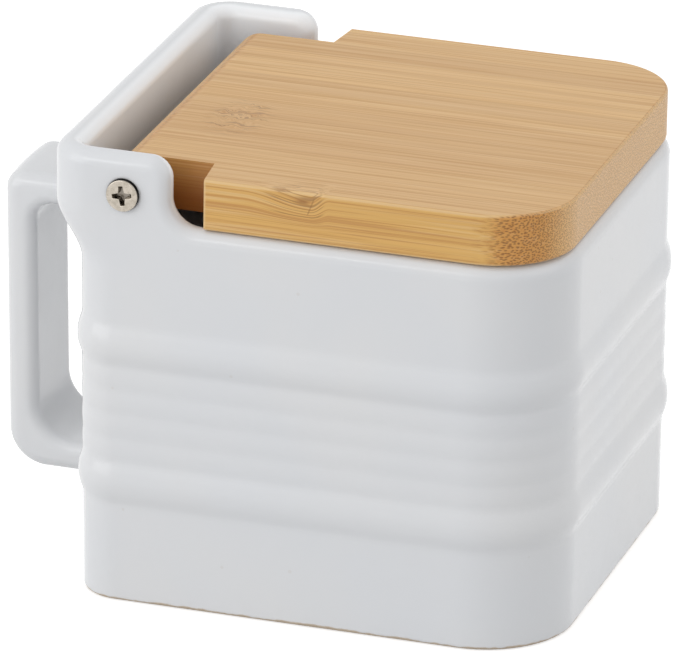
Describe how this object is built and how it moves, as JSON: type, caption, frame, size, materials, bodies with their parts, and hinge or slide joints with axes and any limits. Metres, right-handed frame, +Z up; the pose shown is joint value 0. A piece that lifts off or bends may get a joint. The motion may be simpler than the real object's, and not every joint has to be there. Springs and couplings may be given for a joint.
{
  "type": "salt box",
  "caption": "Square ceramic salt box with ribbed walls, a strap handle at the back and a bamboo lid hinged on screws between two ears.",
  "frame": {"origin": "centre of the crock's foot, on the surface it stands on, midway between its two sides and between its front and back faces", "axes": "+Z up; -Y is the front, where the lid's edge lifts; +Y is the back, with the handle; the hinge axis runs along X"},
  "size_m": [0.1136, 0.1467, 0.108],
  "materials": {
    "glazed_ceramic": "clear gloss glaze over white clay, with a bare foot",
    "bamboo": "oiled satin, with straight grain from front to back",
    "nylon": "black matt",
    "nickel_steel": "nickel plated"
  },
  "bodies": {
    "crock_body": {"crock": "glazed_ceramic", "handle": "glazed_ceramic", "left_bush": "nylon", "right_bush": "nylon"},
    "lid_body": {"lid": "bamboo", "left_screw": "nickel_steel", "right_screw": "nickel_steel"}
  },
  "joints": [
    {"name": "lid_hinge", "type": "hinge", "parent": "crock_body", "child": "lid_body", "pos_m": [0, 0.0426, 0.0989], "axis": [-1, 0, 0], "range_deg": [0, 125]}
  ]
}
